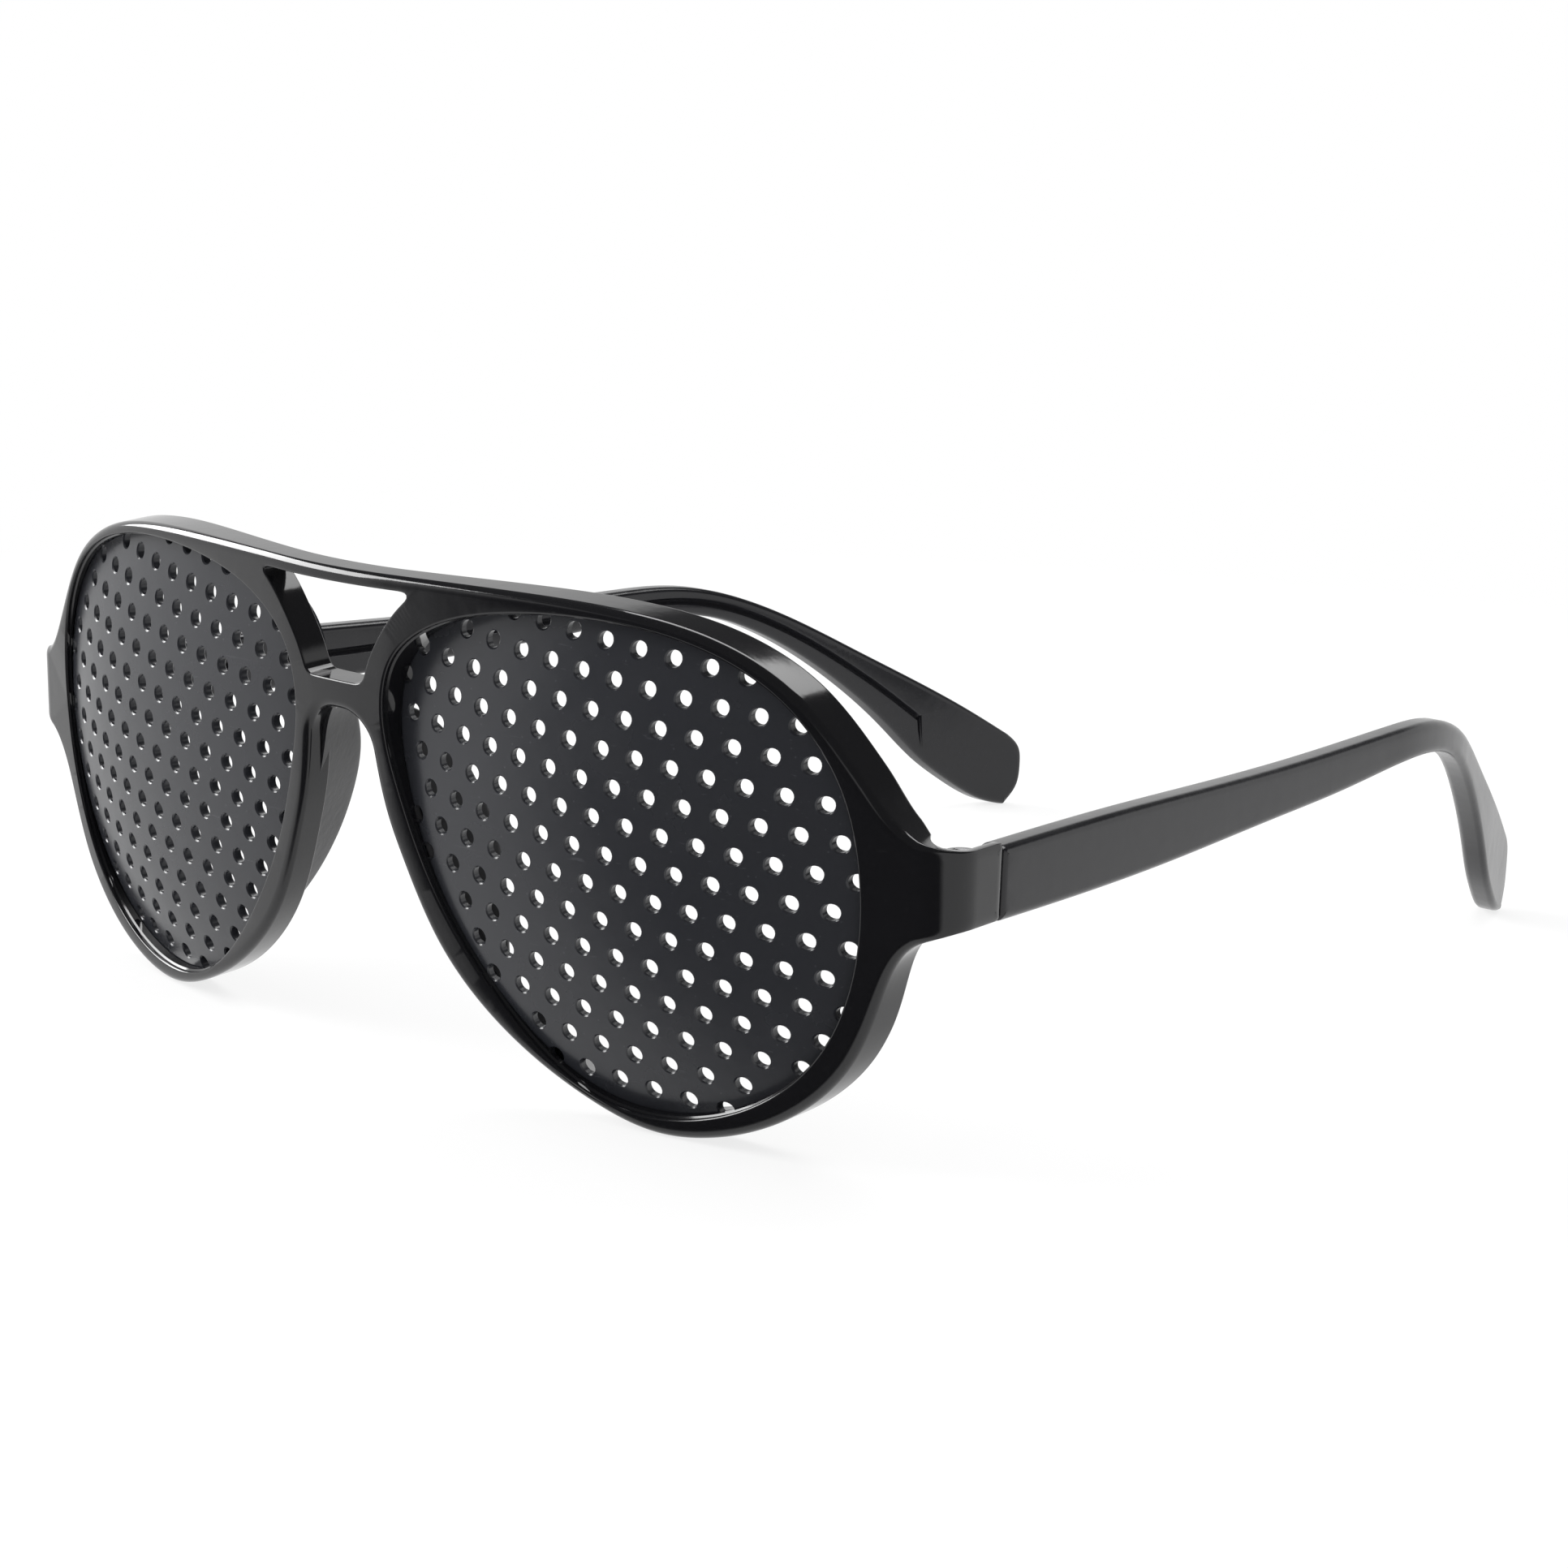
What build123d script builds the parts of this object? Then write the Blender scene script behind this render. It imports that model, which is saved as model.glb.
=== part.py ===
from build123d import *
from math import asin, ceil, cos, degrees, radians, sin, sqrt
import os

os.makedirs("parts", exist_ok=True)

# Pinhole glasses: a one-piece moulded front with nose pads, two black domed
# plates full of small holes in place of lenses, and two folding temples.
# X points to the wearer's left, -Y to the front and +Z up.

# Front: the face leans, its top ahead of its foot, and wraps round the head.
front_half_width = 70.5
front_height = 54.9
front_thickness = 5.0
face_lean = 5.6
centre_wrap_radius = 70.0
centre_wrap_turn = 7.2
side_wrap_radius = 345.0
front_edge_round = 0.9
back_edge_cut = 0.4
depth_slack = 0.3
overrun = 3.0

# Outline of one half, as shares of the half width and of the height.
brow_shares = [
    (0, 1), (0.34, 0.995), (0.52, 0.978), (0.645, 0.95), (0.78, 0.873),
    (0.877, 0.732), (0.933, 0.645), (1, 0.6),
]
chin_shares = [
    (1, 0.463), (0.94, 0.425), (0.891, 0.313), (0.83, 0.191), (0.73, 0.077),
    (0.62, 0.013), (0.535, 0), (0.426, 0.033), (0.298, 0.14), (0.196, 0.291),
    (0.133, 0.45), (0.104, 0.53), (0.082, 0.605), (0.071, 0.65),
]
nose_arch_flat = 0.55

# Lens opening: an aviator drop, as shares of its own width and height.
rim_at_nose = 1.8
rim_at_side = 9.0
rim_at_brow = 2.3
rim_at_foot = 2.0
lens_from_nose = front_half_width * chin_shares[-1][0] + rim_at_nose
lens_width = front_half_width - lens_from_nose - rim_at_side
lens_height = front_height - rim_at_foot - rim_at_brow
lens_shares = [
    (0.585, 0), (0.76, 0.047), (0.905, 0.172), (0.982, 0.35), (1, 0.54),
    (0.96, 0.745), (0.845, 0.895), (0.68, 0.974), (0.488, 1), (0.28, 0.988),
    (0.12, 0.94), (0.028, 0.86), (0, 0.747), (0.027, 0.597), (0.091, 0.419),
    (0.197, 0.245), (0.333, 0.095), (0.455, 0.02),
]

# Plates: thin caps of a sphere, sprung into a groove all round the opening.
plate_radius = 101.0
plate_thickness = 1.0
plate_inset_at_nose = 1.95
plate_inset_at_side = 0.83
plate_edge = 0.9
groove_clearance = 0.1
hole_diameter = 1.7
hole_pitch = 3.97
hole_row_turn = -8.8
hole_sides = 6
left_hole_shift = (-1.4, -0.9)
right_hole_shift = (-0.7, 1.1)

# Bridge opening between brow bar and lower bar, as shares of the front.
bridge_shares = [(0.169, 0.969), (0.101, 0.878), (0.06, 0.776)]
bridge_top_round = 1.2
bridge_foot_round = 0.8

# Nose pads: D-shaped fins that flare outwards behind the rims.
pad_thickness = 2.0
pad_reach = 10.8
pad_start = 1.6
pad_flare = 0.28
pad_edge_cut = 0.5
pad_line_shares = [
    (0.031, 0.734), (0.051, 0.696), (0.0715, 0.619), (0.122, 0.461), (0.182, 0.302), (0.233, 0.199),
]
pad_side_shares = [
    (0.2, 0.734), (0.66, 0.695), (0.87, 0.632), (1, 0.52), (0.98, 0.429), (0.85, 0.345),
    (0.66, 0.271), (0.46, 0.215), (0.2, 0.169),
]

# End pieces and hinges: an outer wall hides two knuckles on a vertical screw.
end_inset = 0.1
end_reach = 3.65
end_wall = 1.2
end_edge_round = 0.4
hinge_inset = 3.9
hinge_from_end = 2.3
knuckle_radius = 1.85
tongue_radius = 1.6
tongue_neck = 2.4
knuckle_height = 1.8
knuckle_drop = 0.8
hinge_play = 0.2
running_gap = 0.06
screw_diameter = 1.4
screw_head_diameter = 2.4
screw_head_height = 0.7
screw_slot_width = 0.35
screw_tail = 0.8

# Temples: a tapered bar that turns in and down behind the ear.
temple_length = 141.6
temple_rise = 1.2
temple_thickness = 3.3
temple_inset = 0.9
temple_joint_gap = 0.25
temple_straight = 81.5
temple_converge = 4.86
temple_bend_radius = 80.0
temple_bend_turn = 16.9
temple_top_shares = [
    (0, 0.947), (0.158, 0.97), (0.377, 0.99), (0.56, 1), (0.64, 0.977),
    (0.71, 0.903), (0.82, 0.686), (0.94, 0.418), (0.985, 0.302),
]
temple_tip_shares = [(0.985, 0.302), (0.997, 0.25), (1, 0.17), (0.997, 0.08), (0.983, 0)]
temple_foot_shares = [
    (0.983, 0), (0.965, 0.018), (0.927, 0.104), (0.896, 0.2), (0.859, 0.352),
    (0.803, 0.555), (0.735, 0.74), (0.67, 0.842), (0.613, 0.885), (0.535, 0.892),
    (0.472, 0.873), (0.381, 0.838), (0.2, 0.8), (0.06, 0.764), (0, 0.753),
]

# Planes of the leaning face: seen from the front, from above and from the side.
lean_up = Vector(0, -sin(radians(face_lean)), cos(radians(face_lean)))
lean_back = Vector(0, cos(radians(face_lean)), sin(radians(face_lean)))
face_plane = Plane(origin=(0, 0, 0), x_dir=(1, 0, 0), z_dir=-lean_back)
plan_plane = Plane(origin=(0, 0, 0), x_dir=(1, 0, 0), z_dir=lean_up)
side_plane = Plane(origin=(0, 0, 0), x_dir=lean_back, z_dir=(1, 0, 0))


def placed(shares, width, height):
    """Turn a table of shares into points."""
    return [(across * width, up * height) for across, up in shares]


def lens_points(side, margin):
    """Return the points of one lens opening, widened all round by a margin."""
    return [
        (side * (lens_from_nose - margin + x), rim_at_foot - margin + y)
        for x, y in placed(lens_shares, lens_width + 2 * margin, lens_height + 2 * margin)
    ]


# The front surface in plan: a tight arc in the middle, then a flatter wing.
wing_x = (centre_wrap_radius - side_wrap_radius) * sin(radians(centre_wrap_turn))
wing_y = centre_wrap_radius + (side_wrap_radius - centre_wrap_radius) * cos(radians(centre_wrap_turn))
wing_turn = degrees(asin((front_half_width + overrun - wing_x) / side_wrap_radius)) - centre_wrap_turn


def front_depth(across):
    """Return how far the front surface lies behind its middle, at a place across."""
    if abs(across) < centre_wrap_radius * sin(radians(centre_wrap_turn)):
        return centre_wrap_radius - sqrt(centre_wrap_radius**2 - across**2)
    return wing_y - sqrt(side_wrap_radius**2 - (abs(across) - wing_x) ** 2)


# The plate's dome meets the rim at a named depth on the nose side and at the side.
lens_end = lens_from_nose + lens_width
lens_middle_height = rim_at_foot + lens_height / 2
plate_nose = Vector(lens_from_nose, -front_depth(lens_from_nose) - plate_inset_at_nose)
plate_side = Vector(lens_end, -front_depth(lens_end) - plate_inset_at_side)
plate_chord = plate_side - plate_nose
plate_back = Vector(plate_chord.Y, -plate_chord.X).normalized()
dome_behind = sqrt(plate_radius**2 - (plate_chord.length / 2) ** 2)
dome_centre = (plate_nose + plate_side) / 2 + plate_back * dome_behind


def dome(side, margin, clearance):
    """Cut a spherical cap with the outline of one lens opening, widened by a margin."""
    centre = face_plane.from_local_coords((side * dome_centre.X, lens_middle_height, dome_centre.Y))
    with BuildPart() as cap:
        with BuildSketch(face_plane.offset(-front_half_width / 2)):
            with BuildLine():
                Spline(*lens_points(side, margin), periodic=True)
            make_face()
        extrude(amount=front_half_width)
        with Locations(centre):
            Sphere(plate_radius + clearance, mode=Mode.INTERSECT)
            Sphere(plate_radius - plate_thickness - clearance, mode=Mode.SUBTRACT)
    return cap


# Front frame, first the nose pads that are moulded with it.
with BuildPart() as nose_pad:
    with BuildSketch(face_plane.offset(-pad_start)):
        with BuildLine():
            Spline(*placed(pad_line_shares, front_half_width, front_height))
        trace(line_width=pad_thickness)
    extrude(amount=pad_reach + overrun, dir=lean_back + Vector(pad_flare, 0, 0))
    with BuildSketch(side_plane):
        with BuildLine():
            rear = Spline(*placed(pad_side_shares, pad_reach, front_height))
            Line(rear @ 1, rear @ 0)
        make_face()
    extrude(amount=front_half_width, mode=Mode.INTERSECT)
    rear_face = nose_pad.faces().sort_by(Axis.Y)[-1]
    chamfer(rear_face.edges().sort_by(SortBy.LENGTH)[-2:], pad_edge_cut)


def edges_at_depth(part, depth):
    """Pick the outline's edges that lie a given depth behind the front surface."""
    chosen = []
    for edge in part.edges():
        middle = face_plane.to_local_coords(edge @ 0.5)
        run = face_plane.to_local_coords(edge @ 1).X - face_plane.to_local_coords(edge @ 0).X
        if abs(run) > front_thickness / 4 and abs(middle.Z + front_depth(middle.X) + depth) < depth_slack:
            chosen.append(edge)
    return chosen


# One half of the front, which is mirrored at the end.
with BuildPart() as front_slab:
    with BuildSketch(face_plane.offset(-front_half_width / 2)):
        with BuildLine():
            brow_points = placed(brow_shares, front_half_width, front_height)
            brow = Spline(*brow_points, tangents=[(1, 0), (1, 0)])
            chin = Spline(*placed(chin_shares, front_half_width, front_height))
            arch_radius = ((chin @ 1).X - nose_arch_flat) / (chin % 1).Y
            arch = JernArc(chin @ 1, chin % 1, arch_radius, Vector(-1, 0).get_angle(chin % 1))
            Line(brow @ 1, chin @ 0)
            Polyline(arch @ 1, (0, (arch @ 1).Y), brow @ 0)
        make_face()
    extrude(amount=front_half_width, clean=False)

    # The slab between two wrapped surfaces, as deep as the front is thick.
    with BuildSketch(plan_plane.offset(-overrun)):
        with BuildLine():
            middle = JernArc((0, 0), (1, 0), centre_wrap_radius, centre_wrap_turn)
            wing = JernArc(middle @ 1, middle % 1, side_wrap_radius, wing_turn)
            offset(amount=front_thickness, side=Side.LEFT)
        make_face()
    extrude(amount=front_height + 2 * overrun, mode=Mode.INTERSECT, clean=False)
    fillet(edges_at_depth(front_slab, 0), front_edge_round)
    chamfer(edges_at_depth(front_slab, front_thickness), back_edge_cut)

# The end piece stands behind the outline's outer edge, which gives its height.
floor = front_slab.part.bounding_box().min.Z
end_depth = -front_depth(front_half_width)
end_low = face_plane.from_local_coords((front_half_width, front_height * chin_shares[0][1], end_depth))
end_high = face_plane.from_local_coords((front_half_width, front_height * brow_shares[-1][1], end_depth))
end_foot = end_low.Z + end_inset
end_top = end_high.Z - end_inset
slab_back = (end_low + end_high) / 2 + lean_back * front_thickness
end_back = slab_back.Y + end_reach
hinge_x = front_half_width - hinge_inset
hinge_y = end_back - hinge_from_end
knuckle_foot = end_foot + knuckle_drop
knuckle_top = end_top - knuckle_drop
tongue_foot = knuckle_foot + knuckle_height + hinge_play
tongue_height = knuckle_top - knuckle_height - hinge_play - tongue_foot

with BuildPart() as end_piece:
    with BuildSketch(Plane.XY.offset(end_foot)):
        with BuildLine():
            Line(
                (front_half_width, slab_back.Y - front_thickness / 2),
                (front_half_width - temple_inset, end_back),
            )
            offset(amount=end_wall, side=Side.LEFT)
        make_face()
    extrude(amount=end_top - end_foot)
    outer_edges = end_piece.faces().sort_by(Axis.X)[-1].edges()
    fillet(outer_edges.filter_by(Axis.Z, reverse=True), end_edge_round)

with BuildPart() as knuckles:
    for knuckle_z in (knuckle_foot, knuckle_top - knuckle_height):
        with BuildSketch(Plane.XY.offset(knuckle_z)):
            with Locations((hinge_x, hinge_y)):
                Circle(knuckle_radius)
                Rectangle(2 * knuckle_radius, front_thickness, align=(Align.CENTER, Align.MAX))
        extrude(amount=knuckle_height)

groove = dome(1, plate_edge + groove_clearance, groove_clearance)

with BuildPart() as front_half:
    add(front_slab.part)
    # The opening, and the groove that the plate is held in.
    with BuildSketch(face_plane.offset(-front_half_width / 2)):
        with BuildLine():
            Spline(*lens_points(1, 0), periodic=True)
        make_face()
    extrude(amount=front_half_width, mode=Mode.SUBTRACT)
    add(nose_pad.part)
    add(groove.part, mode=Mode.SUBTRACT)
    with BuildSketch(face_plane.offset(-front_half_width / 2)):
        with BuildLine():
            bridge_side = ThreePointArc(*placed(bridge_shares, front_half_width, front_height))
            Polyline(bridge_side @ 1, (0, (bridge_side @ 1).Y), (0, (bridge_side @ 0).Y), bridge_side @ 0)
        make_face()
        fillet(vertices().sort_by_distance(bridge_side @ 0)[0], bridge_top_round)
        fillet(vertices().sort_by_distance(bridge_side @ 1)[0], bridge_foot_round)
    extrude(amount=front_half_width, mode=Mode.SUBTRACT)
    add(end_piece.part)
    add(knuckles.part)

with BuildPart() as screw_bore:
    with BuildSketch(Plane.XY.offset(floor)):
        with Locations((hinge_x, hinge_y)):
            Circle(screw_diameter / 2 + running_gap)
    extrude(amount=front_height)
    with BuildSketch(Plane.XY.offset(knuckle_top - screw_head_height)):
        with Locations((hinge_x, hinge_y)):
            Circle(screw_head_diameter / 2 + running_gap)
    extrude(amount=front_height)

with BuildPart() as front_frame:
    add(front_half.part)
    add(screw_bore.part, mode=Mode.SUBTRACT)
    mirror(about=Plane.YZ)


def pinhole_plate(side, hole_shift):
    """Make one plate: a domed cap, pierced by rows of holes that run aslant."""
    middle = Vector(side * (lens_from_nose + lens_width / 2), lens_middle_height)
    with BuildSketch() as opening:
        with BuildLine():
            Spline(*lens_points(side, 0), periodic=True)
        make_face()
    row_gap = hole_pitch * sin(radians(60))
    reach = ceil(lens_width / row_gap)
    along = Vector(1, 0).rotate(Axis.Z, hole_row_turn)
    across = Vector(0, 1).rotate(Axis.Z, hole_row_turn)
    first = middle + Vector(*hole_shift)
    places = []
    for row in range(-reach, reach + 1):
        for step in range(-reach, reach + 1):
            place = first + along * (hole_pitch * (step + row % 2 / 2)) + across * (row_gap * row)
            if opening.sketch.faces()[0].is_inside(place):
                places.append(place)
    sheet = dome(side, plate_edge, 0)
    with BuildPart() as plate:
        add(sheet.part)
        with BuildSketch(face_plane.offset(-front_half_width / 2)):
            with Locations(*places):
                RegularPolygon(hole_diameter / 2, hole_sides, rotation=hole_row_turn)
        extrude(amount=front_half_width, mode=Mode.SUBTRACT)
    return plate


left_pinhole_plate = pinhole_plate(1, left_hole_shift)
right_pinhole_plate = pinhole_plate(-1, right_hole_shift)

# Temple: its side view meets its plan, and a tongue fits between the knuckles.
temple_start = Vector(front_half_width - temple_inset, end_back + temple_joint_gap)
temple_peak = end_top - floor + temple_rise
with BuildPart() as left_temple:
    with BuildSketch(Plane.XY.offset(floor - overrun)):
        with BuildLine():
            bar = PolarLine(temple_start, temple_straight, 90 + temple_converge)
            bend = JernArc(bar @ 1, bar % 1, temple_bend_radius, temple_bend_turn)
            ear = PolarLine(bend @ 1, temple_length / 2, direction=bend % 1)
            offset(amount=temple_thickness, side=Side.LEFT)
        make_face()
    extrude(amount=temple_peak + 2 * overrun)
    with BuildSketch(Plane.YZ):
        with BuildLine():
            top, tip, foot = (
                Spline(*[
                    (temple_start.Y + y, floor + z)
                    for y, z in placed(shares, temple_length, temple_peak)
                ])
                for shares in (temple_top_shares, temple_tip_shares, temple_foot_shares)
            )
            Line(foot @ 1, top @ 0)
        make_face()
    extrude(amount=front_half_width + overrun, mode=Mode.INTERSECT)
    with BuildSketch(Plane.XY.offset(tongue_foot)):
        with Locations((hinge_x, hinge_y)):
            Circle(tongue_radius)
        with Locations((hinge_x - tongue_radius, hinge_y)):
            Rectangle(tongue_neck, end_back - hinge_y + temple_thickness / 2, align=Align.MIN)
    extrude(amount=tongue_height)
    add(screw_bore.part, mode=Mode.SUBTRACT)

with BuildPart() as right_temple:
    mirror(left_temple.part, about=Plane.YZ)

# Hinge screws: a slotted head sunk in the upper knuckle, its tail below the lower.
with BuildPart() as left_hinge_screw:
    with BuildSketch(Plane.XY.offset(knuckle_foot - screw_tail)):
        with Locations((hinge_x, hinge_y)):
            Circle(screw_diameter / 2)
    extrude(amount=knuckle_top - knuckle_foot + screw_tail)
    with BuildSketch(Plane.XY.offset(knuckle_top - screw_head_height)):
        with Locations((hinge_x, hinge_y)):
            Circle(screw_head_diameter / 2)
    extrude(amount=screw_head_height)
    with BuildSketch(Plane.XY.offset(knuckle_top)):
        with Locations((hinge_x, hinge_y)):
            Rectangle(screw_head_diameter, screw_slot_width)
    extrude(amount=-screw_head_height / 2, mode=Mode.SUBTRACT)

with BuildPart() as right_hinge_screw:
    mirror(left_hinge_screw.part, about=Plane.YZ)

front_frame.part.label = "front_frame"
left_pinhole_plate.part.label = "left_pinhole_plate"
right_pinhole_plate.part.label = "right_pinhole_plate"
left_temple.part.label = "left_temple"
right_temple.part.label = "right_temple"
left_hinge_screw.part.label = "left_hinge_screw"
right_hinge_screw.part.label = "right_hinge_screw"

# The glasses stand on the table, with the origin under their middle.
pieces = (
    front_frame, left_pinhole_plate, right_pinhole_plate, left_temple, right_temple,
    left_hinge_screw, right_hinge_screw,
)
depths = [piece.part.bounding_box() for piece in pieces]
front_y = min(box.min.Y for box in depths)
back_y = max(box.max.Y for box in depths)
for piece in pieces:
    piece.part.locate(Location((0, -(front_y + back_y) / 2, -floor)))

export_step(front_frame.part, "parts/front_frame.step")
export_step(left_pinhole_plate.part, "parts/left_pinhole_plate.step")
export_step(right_pinhole_plate.part, "parts/right_pinhole_plate.step")
export_step(left_temple.part, "parts/left_temple.step")
export_step(right_temple.part, "parts/right_temple.step")
export_step(left_hinge_screw.part, "parts/left_hinge_screw.step")
export_step(right_hinge_screw.part, "parts/right_hinge_screw.step")
print("hinge axis at", hinge_x, hinge_y - (front_y + back_y) / 2, tongue_foot - floor)
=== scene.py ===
import bpy
import bmesh
import numpy as np
from math import cos, pi, radians, sin
from mathutils import Matrix, Vector
from mathutils.geometry import delaunay_2d_cdt


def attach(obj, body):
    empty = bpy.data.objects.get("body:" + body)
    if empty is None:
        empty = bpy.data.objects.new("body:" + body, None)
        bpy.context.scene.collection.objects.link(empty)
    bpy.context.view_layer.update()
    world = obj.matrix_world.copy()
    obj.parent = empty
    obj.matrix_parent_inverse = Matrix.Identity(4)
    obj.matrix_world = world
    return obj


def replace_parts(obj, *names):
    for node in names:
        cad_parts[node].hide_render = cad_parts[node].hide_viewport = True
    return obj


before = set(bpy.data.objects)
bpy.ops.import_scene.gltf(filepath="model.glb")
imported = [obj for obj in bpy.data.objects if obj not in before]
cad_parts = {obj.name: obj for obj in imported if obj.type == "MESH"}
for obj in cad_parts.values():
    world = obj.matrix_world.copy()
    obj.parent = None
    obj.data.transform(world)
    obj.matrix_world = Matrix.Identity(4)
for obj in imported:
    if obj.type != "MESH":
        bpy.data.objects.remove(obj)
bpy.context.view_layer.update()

# Studio. The glasses stand on a white floor in front of plain white. The camera
# stands ahead of the wearer's left side, low, with a long lens and a slight roll.
camera_place = Vector((0.2766, -0.3222, 0.1081))
camera_azimuth = 41.73
camera_elevation = 11.74
camera_roll = 2.24
photo_width_px = 1932
focal_length_px = 4418
sensor_width = 36.0

camera_data = bpy.data.cameras.new("camera")
camera_data.sensor_width = sensor_width
camera_data.lens = focal_length_px / photo_width_px * sensor_width
camera = bpy.data.objects.new("camera", camera_data)
bpy.context.scene.collection.objects.link(camera)
camera.matrix_world = (
    Matrix.Translation(camera_place)
    @ Matrix.Rotation(radians(camera_azimuth), 4, "Z")
    @ Matrix.Rotation(radians(90 - camera_elevation), 4, "X")
    @ Matrix.Rotation(radians(camera_roll), 4, "Z")
)
bpy.context.scene.camera = camera
bpy.context.scene.view_settings.view_transform = "Standard"

# The world is white to the camera. Reflections see a white room with a dark ceiling
# and one dark side, towards the camera, which keeps black gloss plastic black.
# Light that the surfaces scatter comes from a softer white all round.
dark_side = Vector((0.20, -0.97, -0.12)).normalized()
dark_core = 0.79
dark_rim = 0.60
room_white = 0.95
room_dark = 0.03
room_soft = 0.75
ceiling_dark = 0.10
ceiling_starts = 0.40
ceiling_full = 0.50


def add_node(tree, kind, sockets=None, **options):
    """Add a shader node. Options set its properties. Each socket, by its name or number,
    takes either a constant or the output of another node."""
    node = tree.nodes.new(kind)
    for option, value in options.items():
        setattr(node, option, value)
    for socket, value in (sockets or {}).items():
        if isinstance(value, bpy.types.NodeSocket):
            tree.links.new(value, node.inputs[socket])
        else:
            node.inputs[socket].default_value = value
    return node


world = bpy.data.worlds.new("room")
bpy.context.scene.world = world
world.use_nodes = True
room = world.node_tree
room.nodes.clear()
light_path = add_node(room, "ShaderNodeLightPath")
direction = add_node(room, "ShaderNodeTexCoord").outputs["Generated"]
towards = add_node(
    room, "ShaderNodeVectorMath", {0: direction, 1: dark_side}, operation="DOT_PRODUCT",
)
fade = add_node(room, "ShaderNodeMapRange", {
    "Value": towards.outputs["Value"], "From Min": dark_rim, "From Max": dark_core,
    "To Min": room_white, "To Max": room_dark,
}, interpolation_type="SMOOTHSTEP")
height = add_node(room, "ShaderNodeSeparateXYZ", {"Vector": direction})
overhead = add_node(room, "ShaderNodeMapRange", {
    "Value": height.outputs["Z"], "From Min": ceiling_starts, "From Max": ceiling_full,
}, interpolation_type="SMOOTHSTEP")
ceiling = add_node(room, "ShaderNodeMix", {
    "Factor": overhead.outputs["Result"], "A": fade.outputs["Result"], "B": ceiling_dark,
})
strength = add_node(room, "ShaderNodeMix", {
    "Factor": light_path.outputs["Is Glossy Ray"], "A": room_soft, "B": ceiling.outputs["Result"],
})
seen = add_node(room, "ShaderNodeMix", {
    "Factor": light_path.outputs["Is Camera Ray"], "A": strength.outputs["Result"], "B": 1.0,
})
sky = add_node(room, "ShaderNodeBackground", {
    "Color": (1, 1, 1, 1), "Strength": seen.outputs["Result"],
})
add_node(room, "ShaderNodeOutputWorld", {"Surface": sky.outputs["Background"]})

# The floor is white board: mostly its own white to the camera, so the shadow
# under the rims and temple tips stays faint, and clear in reflections.
floor_half = 3.0
paper_white = 0.86
shadow_share = 0.2
shadow_near = 0.14
shadow_far = 0.34
floor_mesh = bpy.data.meshes.new("floor")
corner_signs = ((-1, -1), (1, -1), (1, 1), (-1, 1))
floor_corners = [(x * floor_half, y * floor_half, 0) for x, y in corner_signs]
floor_mesh.from_pydata(floor_corners, [], [(0, 1, 2, 3)])
floor = bpy.data.objects.new("floor", floor_mesh)
bpy.context.scene.collection.objects.link(floor)
board = bpy.data.materials.new("white_board")
board.use_nodes = True
tree = board.node_tree
tree.nodes.clear()
ray = add_node(tree, "ShaderNodeLightPath")
paper = add_node(tree, "ShaderNodeBsdfDiffuse", {
    "Color": (paper_white, paper_white, paper_white, 1),
})
glow = add_node(tree, "ShaderNodeEmission")
clear = add_node(tree, "ShaderNodeBsdfTransparent")
place = add_node(tree, "ShaderNodeTexCoord")
away = add_node(tree, "ShaderNodeVectorMath", {0: place.outputs["Object"]}, operation="LENGTH")
own_white = add_node(tree, "ShaderNodeMapRange", {
    "Value": away.outputs["Value"], "From Min": shadow_near, "From Max": shadow_far,
    "To Min": 1 - shadow_share, "To Max": 1.0,
})
camera_share = add_node(tree, "ShaderNodeMath", {
    0: ray.outputs["Is Camera Ray"], 1: own_white.outputs["Result"],
}, operation="MULTIPLY")
surface = add_node(tree, "ShaderNodeMixShader", {
    "Fac": camera_share.outputs["Value"], 1: paper.outputs["BSDF"], 2: glow.outputs["Emission"],
})
mirrored = add_node(tree, "ShaderNodeMixShader", {
    "Fac": ray.outputs["Is Glossy Ray"], 1: surface.outputs["Shader"], 2: clear.outputs["BSDF"],
})
add_node(tree, "ShaderNodeOutputMaterial", {"Surface": mirrored.outputs["Shader"]})
floor_mesh.materials.append(board)

# Two long softboxes. One hangs above and behind and lights the tops of brow bar and
# temples. The other stands ahead on the wearer's right and draws the brow's streak.
glasses_middle = (0, 0, 0.02)


def softbox(name, place, aim, width, height, watts):
    """Hang a flat rectangular lamp at a place, turned to shine at an aim."""
    lamp = bpy.data.lights.new(name, "AREA")
    lamp.shape = "RECTANGLE"
    lamp.size = width
    lamp.size_y = height
    lamp.energy = watts
    holder = bpy.data.objects.new(name, lamp)
    bpy.context.scene.collection.objects.link(holder)
    holder.location = place
    holder.rotation_euler = (Vector(aim) - Vector(place)).to_track_quat("-Z", "Y").to_euler()


softbox("top_softbox", (-0.15, 0.45, 0.95), glasses_middle, width=0.9, height=0.35, watts=5.0)
softbox("brow_softbox", (-0.76, -0.36, 0.46), glasses_middle, width=0.9, height=0.4, watts=13.0)

# Front frame. One black moulding in gloss plastic: two aviator rims, brow bar and
# bridge bar, wrapped round the face and leaning forward at the top. Its edges
# are rounded, and a groove inside each rim holds the pierced plate. Lengths of
# shapes are in millimetres from here on.
mm = 0.001
merge_distance = 2e-6
least_edge = 1e-7
fill_tolerance = 1e-6
face_lean = radians(5.6)
face_shift = Vector((0, -78.24, -0.62))
half_width = 70.5
front_height = 54.9
front_thickness = 5.0
bridge_thickness = 3.5
bridge_blend = (5, 36)
wrap_middle_radius = 70.0
wrap_side_radius = 345.0
wrap_middle_turn = radians(6.9)
edge_round = 1.1
edge_steps = 8
back_round = 0.45
lip_round = 0.3
lip_steps = 5
lip_step = 0.18
lip_step_depth = 0.75
end_turn_radius = 4.8
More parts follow.
